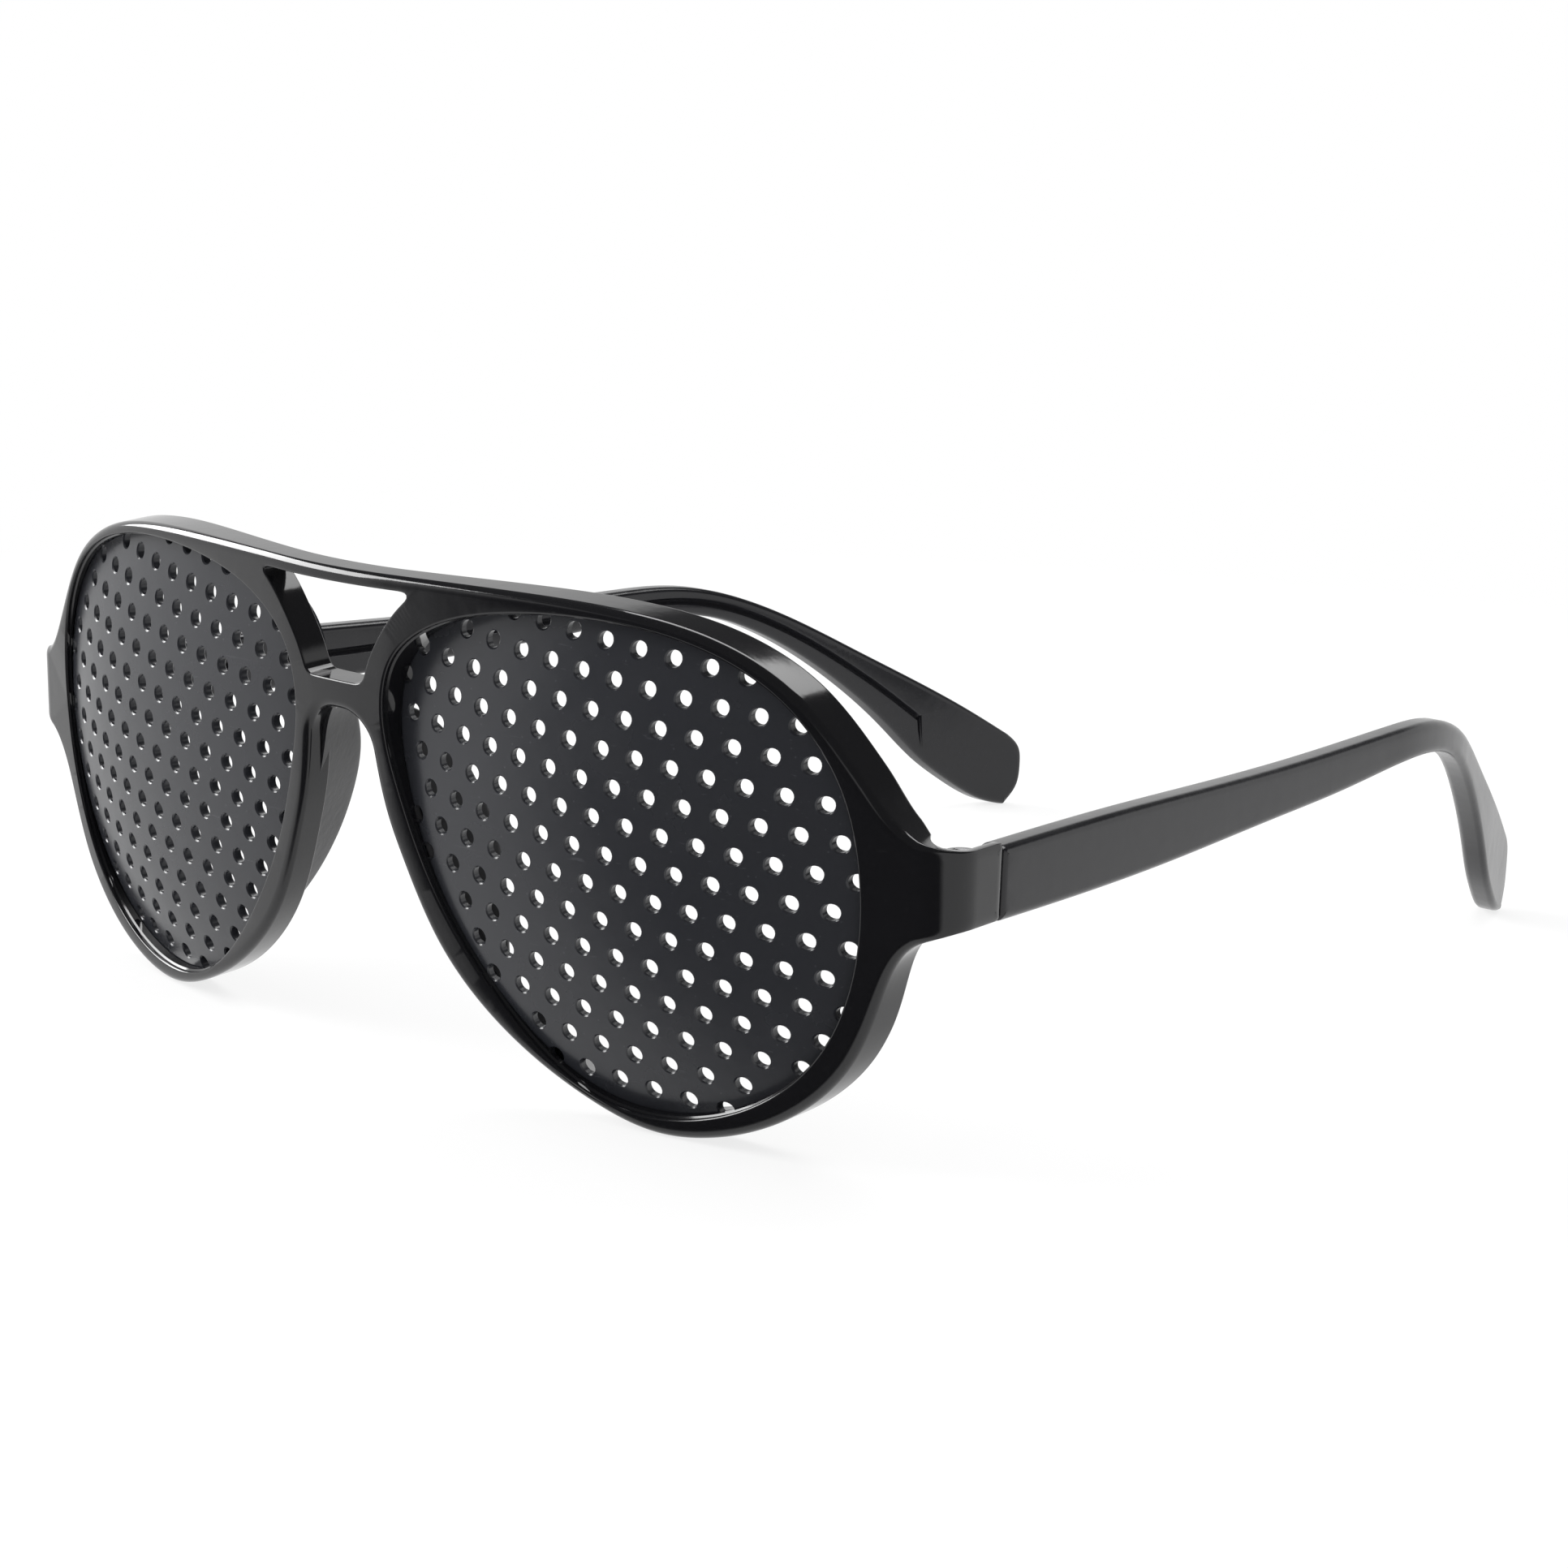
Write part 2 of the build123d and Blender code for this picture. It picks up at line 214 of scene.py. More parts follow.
end_turn_blend = 6.0
end_thins_over = 5.0
end_wall = 1.2
end_reach = 3.90
end_inset = 0.1
temple_inset = 0.9
end_corner = 0.3
shoulder_cut = 3.4
outline_points = 900
brow_shares = [
    (0, 0.993), (0.34, 0.991), (0.52, 0.979), (0.645, 0.95),
    (0.78, 0.862), (0.877, 0.716), (0.933, 0.636), (1, 0.6),
]
chin_shares = [
    (1, 0.456), (0.94, 0.42), (0.89, 0.31), (0.843, 0.184), (0.748, 0.07),
    (0.64, 0.013), (0.54, 0.002), (0.432, 0.042), (0.29, 0.145), (0.178, 0.291),
    (0.115, 0.45), (0.091, 0.53), (0.077, 0.605), (0.071, 0.65),
]
brow_points = 240
chin_points = 300
arch_points = 24
end_points = 60
nose_arch_flat = 0.55
rim_at_nose = 1.8
rim_at_side = 9.0
rim_at_brow = 2.3
rim_at_foot = 2.0
lens_from_nose = half_width * chin_shares[-1][0] + rim_at_nose
lens_width = half_width - lens_from_nose - rim_at_side
lens_height = front_height - rim_at_foot - rim_at_brow
lens_points = 420
lens_shares = [
    (0.585, 0), (0.76, 0.047), (0.905, 0.172), (0.982, 0.35), (1, 0.54), (0.96, 0.745),
    (0.845, 0.895), (0.68, 0.974), (0.488, 1), (0.28, 0.988), (0.12, 0.94), (0.028, 0.86),
    (0, 0.747), (0.027, 0.597), (0.091, 0.419), (0.197, 0.245), (0.333, 0.095), (0.455, 0.02),
]
bridge_shares = [(0.169, 0.966), (0.133, 0.927), (0.101, 0.878), (0.076, 0.827), (0.06, 0.776)]
bridge_points = 220
bridge_side_points = 40
bridge_top_points = 60
bridge_foot_points = 30
bridge_top_cut = 1.7
bridge_foot_cut = 0.9
bridge_edge_round = 0.28
bridge_edge_steps = 6
plate_radius = 101.0
plate_thickness = 1.0
plate_inset_at_nose = 1.95
plate_inset_at_side = 0.83
plate_edge = 0.9
plate_play = 0.1


def smooth_curve(points, count, closed=False, start=None, end=None):
    """Pass a cubic spline through points, its parameter the chord length, and sample it evenly."""
    p = np.array(points, float)
    if closed:
        p = np.vstack([p, p[:1]])
    chord = np.linalg.norm(np.diff(p, axis=0), axis=1)
    t = np.concatenate([[0], np.cumsum(chord)])
    n = len(p)
    slope = np.diff(p, axis=0) / chord[:, None]
    system = np.zeros((n, n))
    right = np.zeros((n, 2))
    inner = np.arange(1, n - 1)
    system[inner, inner - 1] = chord[1:]
    system[inner, inner] = 2 * (chord[:-1] + chord[1:])
    system[inner, inner + 1] = chord[:-1]
    right[inner] = 3 * (chord[1:, None] * slope[:-1] + chord[:-1, None] * slope[1:])
    if closed:
        system[0, [0, 1, n - 2]] = 2 * (chord[0] + chord[-1]), chord[-1], chord[0]
        right[0] = 3 * (chord[-1] * slope[0] + chord[0] * slope[-1])
        system[-1, [0, -1]] = 1, -1
    else:
        system[0, [0, 1]] = 2, 1
        right[0] = 3 * slope[0]
        system[-1, [-1, -2]] = 2, 1
        right[-1] = 3 * slope[-1]
        if start is not None:
            system[0, :2] = 1, 0
            right[0] = start
        if end is not None:
            system[-1, -2:] = 0, 1
            right[-1] = end
    tangent = np.linalg.solve(system, right)
    at = np.linspace(0, t[-1], count * 8)
    k = np.clip(np.searchsorted(t, at, "right") - 1, 0, n - 2)
    w = ((at - t[k]) / chord[k])[:, None]
    h = chord[k][:, None]
    fine = (
        (2 * w**3 - 3 * w**2 + 1) * p[k] + (w**3 - 2 * w**2 + w) * h * tangent[k]
        + (3 * w**2 - 2 * w**3) * p[k + 1] + (w**3 - w**2) * h * tangent[k + 1]
    )
    return spaced(fine, count, closed)


def spaced(line, count, closed=False):
    """Lay a number of points along a line at equal distances, without the last one if it closes."""
    run = np.concatenate([[0], np.cumsum(np.linalg.norm(np.diff(line, axis=0), axis=1))])
    at = np.linspace(0, run[-1], count, endpoint=not closed)
    return np.stack([np.interp(at, run, line[:, 0]), np.interp(at, run, line[:, 1])], axis=1)


def rounded_joint(first, second, cut, steps=7):
    """Join two lines that meet in a corner with a parabola that starts a cut's length from it."""
    corner = first[-1]
    keep_first = first[np.linalg.norm(first - corner, axis=1) > cut]
    keep_second = second[np.linalg.norm(second - corner, axis=1) > cut]
    w = np.linspace(0, 1, steps)[1:-1, None]
    bow = (1 - w) ** 2 * keep_first[-1] + 2 * w * (1 - w) * corner + w**2 * keep_second[0]
    return np.vstack([keep_first, bow, keep_second])


def inward(loop):
    """Return the unit normals on the left of a closed loop's direction."""
    ahead = np.roll(loop, -1, axis=0) - np.roll(loop, 1, axis=0)
    ahead /= np.linalg.norm(ahead, axis=1)[:, None]
    return np.stack([-ahead[:, 1], ahead[:, 0]], axis=1)


def inside(points, loop):
    """Tell which points lie inside a loop, by counting the edges that a ray crosses."""
    a, b = loop, np.roll(loop, -1, axis=0)
    x, y = points[:, 0][:, None], points[:, 1][:, None]
    crosses = (a[:, 1] > y) != (b[:, 1] > y)
    rise = np.where(b[:, 1] == a[:, 1], 1, b[:, 1] - a[:, 1])
    meet = a[:, 0] + (y - a[:, 1]) * (b[:, 0] - a[:, 0]) / rise
    return (crosses & (x < meet)).sum(axis=1) % 2 == 1


def round_rows(radius, front, back, back_radius=None, steps=5):
    """List the rows of a plain edge: a quarter round, a straight wall and a quarter round."""
    back_radius = radius if back_radius is None else back_radius
    turn = np.linspace(0, pi / 2, steps)
    rows = [(radius * (1 - sin(a)), front, radius * (1 - cos(a))) for a in turn]
    rows += [(back_radius * (1 - cos(a)), back, -back_radius * (1 - sin(a))) for a in turn]
    return rows


def moulding(name, loops, edges, place, extra=None, sharp=30):
    """Mould a slab. Each loop carries its edge profile, a list of rows: the offset into the
    material, a surface as a function of two places, and a depth past it. The two faces
    between the loops are filled with triangles, and place() lifts places and depth to space."""
    vertices, faces, first_rows, last_rows = [], [], [], []
    count = 0
    for loop, rows in zip(loops, edges):
        normal = inward(loop)
        n = len(loop)
        grid = []
        for offset, face, past in rows:
            spot = loop + normal * offset
            grid.append(place(spot, face(spot) + past))
        vertices.append(np.concatenate(grid))
        i = np.arange(n)
        j = (i + 1) % n
        for row in range(len(rows) - 1):
            low = count + row * n
            faces.append(np.stack([low + i, low + j, low + n + j, low + n + i], axis=1))
        first_rows.append(loop + normal * rows[0][0])
        last_rows.append(loop + normal * rows[-1][0])
        count += len(rows) * n
    triangles = []
    for which, outlines, flip in ((0, first_rows, False), (-1, last_rows, True)):
        ring = np.concatenate(outlines)
        starts = np.cumsum([0] + [len(o) for o in outlines])
        wires = [
            (int(a + k), int(a + (k + 1) % (b - a)))
            for a, b in zip(starts[:-1], starts[1:]) for k in range(b - a)
        ]
        spots = ring if extra is None else np.vstack([ring, extra])
        filled = delaunay_2d_cdt([Vector(s) for s in spots], wires, [], 1, fill_tolerance)
        flat = np.array([tuple(v) for v in filled[0]])
        cells = np.array([tuple(c) for c in filled[2]])
        middles = flat[cells].mean(axis=1)
        keep = inside(middles, outlines[0])
        for hole in outlines[1:]:
            keep &= ~inside(middles, hole)
        cells = cells[keep][:, ::-1] if flip else cells[keep]
        face, past = edges[0][which][1:]
        vertices.append(place(flat, face(flat) + past))
        triangles.append(cells + count)
        count += len(flat)
    mesh = bpy.data.meshes.new(name)
    quads = np.concatenate(faces).tolist() + np.concatenate(triangles).tolist()
    mesh.from_pydata((np.concatenate(vertices) * mm).tolist(), [], quads)
    return finished(name, mesh, sharp)


def finished(name, mesh, sharp):
    """Merge doubles, turn the faces outwards and shade smoothly between sharp edges."""
    work = bmesh.new()
    work.from_mesh(mesh)
    bmesh.ops.remove_doubles(work, verts=work.verts, dist=merge_distance)
    bmesh.ops.dissolve_degenerate(work, dist=least_edge, edges=work.edges)
    bmesh.ops.recalc_face_normals(work, faces=work.faces)
    work.to_mesh(mesh)
    work.free()
    mesh.shade_smooth()
    mesh.set_sharp_from_angle(angle=radians(sharp))
    piece = bpy.data.objects.new(name, mesh)
    bpy.context.scene.collection.objects.link(piece)
    weighted = piece.modifiers.new("even_normals", "WEIGHTED_NORMAL")
    weighted.keep_sharp = True
    return piece


def wrapped(radius_middle, radius_side, across):
    """Return the depth of a face made of a middle arc and two tangent side arcs."""
    x = np.abs(across)
    side_y = wrap_middle_radius + (wrap_side_radius - wrap_middle_radius) * cos(wrap_middle_turn)
    middle = wrap_middle_radius - np.sqrt(np.maximum(radius_middle**2 - x**2, 0))
    side = side_y - np.sqrt(radius_side**2 - (x - wing_x) ** 2)
    return np.where(x < radius_middle * sin(wrap_middle_turn), middle, side)


def face_front(spot):
    """Return the depth of the front surface, before its ends turn back."""
    return wrapped(wrap_middle_radius, wrap_side_radius, spot[:, 0])


def on_face(spot, depth):
    """Lift places on the leaning face, and a depth behind it, to space."""
    x, h = spot[:, 0], spot[:, 1]
    y = -h * sin(face_lean) + depth * cos(face_lean) + face_shift.y
    z = h * cos(face_lean) + depth * sin(face_lean) + face_shift.z
    return np.stack([x, y, z], axis=1)


def eased(value, low, high):
    """Rise smoothly from 0 at low to 1 at high."""
    w = np.clip((value - low) / (high - low), 0, 1)
    return w * w * (3 - 2 * w)


# The front's ends turn back round an upright arc, and run on as the flat outer
# walls that hide the hinges. There x counts along the surface, not across it.
wing_x = (wrap_middle_radius - wrap_side_radius) * sin(wrap_middle_turn)
bend_share = end_turn_radius / wrap_side_radius
end_turn_start = (half_width - end_turn_radius - bend_share * wing_x) / (1 - bend_share)
end_first_turn = np.arcsin((end_turn_start - wing_x) / wrap_side_radius)
end_shares = (chin_shares[0][1], brow_shares[-1][1])
end_spots = np.array([[half_width, front_height * share] for share in end_shares])
end_corners = on_face(end_spots, face_front(end_spots))
end_foot, end_top = end_corners[:, 2] + (end_inset, -end_inset)
end_middle = end_spots[:, 1].mean()
slab_back = end_corners[:, 1].mean() + front_thickness * cos(face_lean)
end_back = slab_back + end_reach
end_last_turn = radians(90) + np.arctan(temple_inset / (end_reach + front_thickness / 2))
end_turn_length = end_turn_radius * (end_last_turn - end_first_turn)
end_depth = (end_back - face_shift.y + end_middle * sin(face_lean)) / cos(face_lean)
end_turn_depth = float(face_front(np.array([[end_turn_start, 0]]))[0]) + end_turn_radius * (
    cos(end_first_turn) - cos(end_last_turn)
)
end_run = end_turn_start + end_turn_length + (end_depth - end_turn_depth) / sin(end_last_turn)
end_upright_depth = float(face_front(end_spots)[0]) + front_thickness / 2


def thickness(spot):
    """Return how thick the front is: a slab, thinner at the bridge, that thins to the end walls."""
    x = np.minimum(np.abs(spot[:, 0]), end_turn_start)
    back = wrapped(wrap_middle_radius - front_thickness, wrap_side_radius - front_thickness, x)
    slab = back - wrapped(wrap_middle_radius, wrap_side_radius, x)
    slab -= (front_thickness - bridge_thickness) * (1 - eased(np.abs(spot[:, 0]), *bridge_blend))
    thins_from = end_turn_start - end_thins_over / 3
    thin = eased(np.abs(spot[:, 0]), thins_from, thins_from + end_thins_over)
    return slab + (end_wall - slab) * thin


def on_front(spot, inner):
    """Lift places on the wrapped front, and a depth under its surface, to space.

    Up to the turn, a place lies on the face's arcs. From there it goes round the end's own arc
    by the length run past the turn's start over the arc's radius, then straight back. The depth
    counts along the normal, whose turn eases in before the arc. The lean eases out to upright."""
    side, run, h = np.sign(spot[:, 0]), np.abs(spot[:, 0]), spot[:, 1]
    before = np.minimum(run, end_turn_start)
    turning = np.clip(run - end_turn_start, 0, end_turn_length)
    beyond = np.maximum(run - end_turn_start - end_turn_length, 0)
    turn = end_first_turn + turning / end_turn_radius
    x = before + end_turn_radius * (np.sin(turn) - sin(end_first_turn))
    x += beyond * cos(end_last_turn)
    depth = wrapped(wrap_middle_radius, wrap_side_radius, before) + beyond * sin(end_last_turn)
    depth += end_turn_radius * (cos(end_first_turn) - np.cos(turn))
    inward_turn = turn * eased(run, end_turn_start - end_turn_blend, end_turn_start)
    x -= inner * np.sin(inward_turn)
    depth = depth + inner * np.cos(inward_turn)
    upright = eased(run, end_turn_start - end_turn_radius, end_turn_start + end_turn_length)
    above = (h - end_middle) * (1 - upright * 2 * end_inset / (end_spots[1, 1] - end_spots[0, 1]))
    lean = face_lean * (1 - upright)
    y = depth * cos(face_lean) - end_middle * sin(face_lean) - above * np.sin(lean) + face_shift.y
    lifted = depth + (end_upright_depth - depth) * upright
    z = end_middle * cos(face_lean) + above * np.cos(lean) + lifted * sin(face_lean) + face_shift.z
    return np.stack([side * x, y, z], axis=1)


def rim_rows(front_radius, back_radius, steps):
    """List the rows of the front's edge, whose rounds thin out with the slab at its ends."""
    def at(level):
        """Keep a level's share of the thickness, wherever the slab is thinner."""
        return lambda spot: level * thickness(spot) / front_thickness

    turn = np.linspace(0, pi / 2, steps)
    rows = [(front_radius * (1 - sin(a)), at(front_radius * (1 - cos(a))), 0) for a in turn]
    for a in turn:
        level = front_thickness - back_radius * (1 - sin(a))
        rows.append((back_radius * (1 - cos(a)), at(level), 0))
    return rows


def dome_place():
    """Find the axis of the plates' dome, which meets the rim at a depth on either side."""
    ends = np.array([[lens_from_nose, 0], [lens_from_nose + lens_width, 0]])
    ends[:, 1] = face_front(ends) + (plate_inset_at_nose, plate_inset_at_side)
    chord = ends[1] - ends[0]
    length = np.linalg.norm(chord)
    back = np.array([-chord[1], chord[0]]) / length
    return ends.mean(axis=0) + back * np.sqrt(plate_radius**2 - length**2 / 4)


dome_across, dome_depth = dome_place()


def plate_face(shell):
    """Return a plate's sphere, grown or shrunk by a shell, as a depth on the face."""
    def depth(spot):
        """Take the sphere's near side, mirrored on the two halves of the face."""
        x = np.abs(spot[:, 0]) - dome_across
        h = spot[:, 1] - rim_at_foot - lens_height / 2
        return dome_depth - np.sqrt((plate_radius + shell) ** 2 - x**2 - h**2)

    return depth


def lens_loop(side, margin, count):
    """Draw a lens opening, widened by a margin, as a closed loop round a hole."""
    shares = np.array(lens_shares)
    points = shares * (lens_width + 2 * margin, lens_height + 2 * margin)
    points += (lens_from_nose - margin, rim_at_foot - margin)
    loop = smooth_curve(points, count, closed=True)
    return loop[::-1] if side > 0 else loop * (-1, 1)


def half_outline():
    """Draw one half of the outline, from the middle of the brow round to the nose arch."""
    size = (half_width, front_height)
    brow = smooth_curve(np.array(brow_shares) * size, brow_points, start=(1, 0), end=(1, 0))
    chin = smooth_curve(np.array(chin_shares) * size, chin_points)
    heading = chin[-1] - chin[-2]
    angle = np.arctan2(heading[1], heading[0])
    arch_radius = (chin[-1, 0] - nose_arch_flat) / sin(angle)
    turn = np.linspace(angle, pi, arch_points)
    bow = np.stack([np.sin(turn) - sin(angle), cos(angle) - np.cos(turn)], axis=1)
    arch = chin[-1] + arch_radius * bow
    arch = np.vstack([arch, [(0, arch[-1, 1])]])
    out = np.linspace(half_width, end_run, end_points)
    upper = np.stack([out, np.full(end_points, brow[-1, 1])], axis=1)
    lower = np.stack([out[::-1], np.full(end_points, chin[0, 1])], axis=1)
    down = np.linspace(brow[-1, 1], chin[0, 1], end_points // 2)
    end = np.stack([np.full(end_points // 2, end_run), down], axis=1)
    top = rounded_joint(rounded_joint(brow, upper, shoulder_cut), end, end_corner)
    foot = rounded_joint(rounded_joint(top, lower, end_corner), chin, shoulder_cut)
    return np.vstack([foot, arch[1:]])


def front_outline():
    """Join the outline's two halves into one closed loop."""
    right_half = half_outline()
    left_half = (right_half * (-1, 1))[::-1]
    loop = np.vstack([left_half[:-1], right_half[:-1]])[::-1]
    return spaced(np.vstack([loop, loop[:1]]), outline_points, closed=True)


def bridge_loop():
    """Draw the opening between brow bar and bridge bar as a closed loop round a hole."""
    corners = np.array(bridge_shares) * (half_width, front_height)
    side_line = smooth_curve(corners, bridge_side_points)
    wide, high = side_line[0]
    narrow, low = side_line[-1]
    along_top = np.linspace(-wide, wide, bridge_top_points)
    along_foot = np.linspace(narrow, -narrow, bridge_foot_points)
    top_bar = np.stack([along_top, np.full(bridge_top_points, high)], axis=1)
    foot_bar = np.stack([along_foot, np.full(bridge_foot_points, low)], axis=1)
    other_side = (side_line * (-1, 1))[::-1]
    loop = rounded_joint(top_bar, side_line, bridge_top_cut)
    loop = rounded_joint(loop, foot_bar, bridge_foot_cut)
    loop = rounded_joint(loop, other_side, bridge_foot_cut)
    loop = np.roll(loop, len(loop) // 2, axis=0)
    seam = np.argmin(np.linalg.norm(loop - (-wide, high), axis=1))
    loop = rounded_joint(loop[: seam + 1], loop[seam:], bridge_top_cut)
    return spaced(np.vstack([loop, loop[:1]]), bridge_points, closed=True)


def under_front(surface):
    """Turn a depth on the face into a depth under the front surface."""
    return lambda spot: surface(spot) - face_front(spot)


def flush(spot):
    """Return the front surface itself, as a depth under it."""
    return np.zeros(len(spot))


groove_front = under_front(plate_face(plate_play))
groove_back = under_front(plate_face(-plate_thickness - plate_play))
groove_depth = plate_edge + plate_play
lip_rows = rim_rows(lip_round, back_round, lip_steps)
groove_rows = (
    lip_rows[:lip_steps]
    + [(0, flush, lip_step_depth - lip_step), (-lip_step, flush, lip_step_depth)]
    + [(-lip_step, groove_front, 0), (groove_depth, groove_front, 0)]
    + [(groove_depth, groove_back, 0), (0, groove_back, 0)]
    + lip_rows[lip_steps:]
)
outer_rows = rim_rows(edge_round, back_round, edge_steps)
bridge_rows = rim_rows(bridge_edge_round, bridge_edge_round, bridge_edge_steps)
front_moulding = moulding(
    "front_moulding",
    [front_outline(), lens_loop(1, 0, lens_points), lens_loop(-1, 0, lens_points), bridge_loop()],
    [outer_rows, groove_rows, groove_rows, bridge_rows],
    on_front,
)
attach(front_moulding, "front")
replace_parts(front_moulding, "front_frame")

# The skin of a moulding. Every plastic here has a faint ripple from its tool, gloss that
# varies in patches, hairlines from wiping, and dust. All sizes are in metres or per metre.
plastic_ior = 1.49
ripple_height = 0.0002
patch_scale = 90.0
hair_turn = (0.3, 0.2, 0.5)
hair_scale = (60, 2600, 2600)
hair_starts = 0.70
hair_full = 0.78
dust_scale = 700.0
dust_edge = 0.10
dust_core = 0.04
mark_gain = 1.6
mark_lift = 0.02


def skin_group():
    """Build the group that gives every moulding its ripple, uneven gloss and fine marks."""
    group = bpy.data.node_groups.new("moulded_skin", "ShaderNodeTree")
    for name, value in (("Ripple Scale", 400.0), ("Worn", 0.3)):
        socket = group.interface.new_socket(name, in_out="INPUT", socket_type="NodeSocketFloat")
        socket.default_value = value
    for name in ("Height", "Unevenness", "Marks"):
        group.interface.new_socket(name, in_out="OUTPUT", socket_type="NodeSocketFloat")
    given = add_node(group, "NodeGroupInput")
    place = add_node(group, "ShaderNodeTexCoord").outputs["Object"]
    ripple = add_node(group, "ShaderNodeTexNoise", {
        "Vector": place, "Scale": given.outputs["Ripple Scale"], "Detail": 3.0,
    })
    patches = add_node(group, "ShaderNodeTexNoise", {
        "Vector": place, "Scale": patch_scale, "Detail": 5.0,
    })
    drawn = add_node(group, "ShaderNodeMapping", {
        "Vector": place, "Rotation": hair_turn, "Scale": hair_scale,
    })
    hairs = add_node(group, "ShaderNodeTexNoise", {
        "Vector": drawn.outputs["Vector"], "Scale": 1.0, "Detail": 2.0,
    })
    hairline = add_node(group, "ShaderNodeMapRange", {
        "Value": hairs.outputs["Fac"], "From Min": hair_starts, "From Max": hair_full,
    })
    dust = add_node(group, "ShaderNodeTexVoronoi", {"Vector": place, "Scale": dust_scale})
    speck = add_node(group, "ShaderNodeMapRange", {
        "Value": dust.outputs["Distance"], "From Min": dust_edge, "From Max": dust_core,
    })
    both = add_node(group, "ShaderNodeMath", {
        0: hairline.outputs["Result"], 1: speck.outputs["Result"],
    }, operation="MAXIMUM")
    marks = add_node(group, "ShaderNodeMath", {
        0: both.outputs["Value"], 1: given.outputs["Worn"],
    }, operation="MULTIPLY")
    add_node(group, "NodeGroupOutput", {
        "Height": ripple.outputs["Fac"], "Unevenness": patches.outputs["Fac"],
        "Marks": marks.outputs["Value"],
    })
    return group


moulded_skin = skin_group()


def plastic(name, colour, roughness, spread, ripple, ripple_size, worn):
    """Make a moulded plastic: a faint ripple in the skin, uneven gloss, hairlines and dust."""
    material = bpy.data.materials.new(name)
    material.use_nodes = True
    tree = material.node_tree
    shader = tree.nodes["Principled BSDF"]
    shader.inputs["IOR"].default_value = plastic_ior
    skin = add_node(tree, "ShaderNodeGroup", node_tree=moulded_skin)
    skin.inputs["Ripple Scale"].default_value = 1 / ripple_size
    skin.inputs["Worn"].default_value = worn
    bump = add_node(tree, "ShaderNodeBump", {
        "Height": skin.outputs["Height"], "Strength": ripple, "Distance": ripple_height,
    })
    gloss = add_node(tree, "ShaderNodeMapRange", {
        "Value": skin.outputs["Unevenness"], "To Min": roughness, "To Max": roughness + spread,
    })
    tint = add_node(tree, "ShaderNodeMix", {
        "Factor": skin.outputs["Marks"], "A": (*colour, 1),
        "B": (*[c * mark_gain + mark_lift for c in colour], 1),
    }, data_type="RGBA")
    tree.links.new(bump.outputs["Normal"], shader.inputs["Normal"])
    tree.links.new(gloss.outputs["Result"], shader.inputs["Roughness"])
    tree.links.new(tint.outputs["Result"], shader.inputs["Base Color"])
    return material


front_gloss = plastic(
    "gloss_black", (0.006, 0.006, 0.007), roughness=0.06, spread=0.07,
    ripple=0.12, ripple_size=0.004, worn=0.25,
)
front_moulding.data.materials.append(front_gloss)

# Nose pads. A D-shaped fin on each rim's nose side, moulded in one piece with the
# front. It flares outwards to the rear, and its face is left matt against the skin.
pad_thickness = 1.9
pad_reach = 10.8
pad_start = 2.4
pad_flare = 0.28
pad_rear_round = 0.8
pad_least = 0.05
pad_points = 90
pad_side_points = 400
pad_side_steps = 12
pad_round_steps = 13
pad_line_shares = [
    (0.044, 0.734), (0.064, 0.696), (0.084, 0.619), (0.134, 0.461), (0.2, 0.302), (0.268, 0.199),
]
pad_side_shares = [
    (0.2, 0.734), (0.66, 0.695), (0.87, 0.632), (1, 0.52), (0.98, 0.429), (0.85, 0.345),
    (0.66, 0.271), (0.46, 0.215), (0.2, 0.169),
]
pad_matt = plastic(
    "matt_black_pad", (0.012, 0.012, 0.014), roughness=0.28, spread=0.14,
    ripple=0.22, ripple_size=0.0012, worn=0.15,
)


def ring_quads(rows, count):
    """List the quads between rows of points that each close into a ring."""
    i, j = np.meshgrid(np.arange(rows - 1), np.arange(count), indexing="ij")
    k = (j + 1) % count
    corners = [i * count + j, (i + 1) * count + j, (i + 1) * count + k, i * count + k]
    return np.stack(corners, axis=-1).reshape(-1, 4).tolist()


def nose_pad(name, side):
    """Carry a rounded strip along the pad's line. Its reach to the rear follows the D."""
    line = smooth_curve(np.array(pad_line_shares) * (half_width, front_height), pad_points)
    rear = smooth_curve(np.array(pad_side_shares) * (pad_reach, front_height), pad_side_points)
    reach = np.interp(line[:, 1], rear[::-1, 1], rear[::-1, 0])
    ahead = np.gradient(line, axis=0)
    ahead /= np.linalg.norm(ahead, axis=1)[:, None]
    out = np.stack([-ahead[:, 1], ahead[:, 0]], axis=1)
    half = pad_thickness / 2
    turn = np.linspace(-pi / 2, pi / 2, pad_round_steps)[1:-1]
    run = np.linspace(0, 1, pad_side_steps)
    flat = np.full(pad_side_steps, half)
    across = np.concatenate([-flat, half * np.sin(turn), flat])
    bulge = pad_rear_round * np.cos(turn)
    wall = np.maximum(reach - pad_start - pad_rear_round, pad_least)[:, None]
    depth = np.concatenate([
        pad_start + run[None, :] * wall,
        np.maximum(reach - pad_rear_round, pad_start + pad_least)[:, None] + bulge[None, :],
        pad_start + run[None, ::-1] * wall,
    ], axis=1)
    spot = line[:, None, :] + out[:, None, :] * across[None, :, None]
    spot[..., 0] += pad_flare * (depth - pad_start)
    spot[..., 0] *= side
    n, m = depth.shape
    points = on_face(spot.reshape(-1, 2), depth.ravel()) * mm
    ends = [list(range(m)), list(range((n - 1) * m, n * m))]
    mesh = bpy.data.meshes.new(name)
    mesh.from_pydata(points.tolist(), [], ring_quads(n, m) + ends)
    pad = finished(name, mesh, 40)
    mesh.materials.append(pad_matt)
    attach(pad, "front")


nose_pad("left_nose_pad", 1)
nose_pad("right_nose_pad", -1)

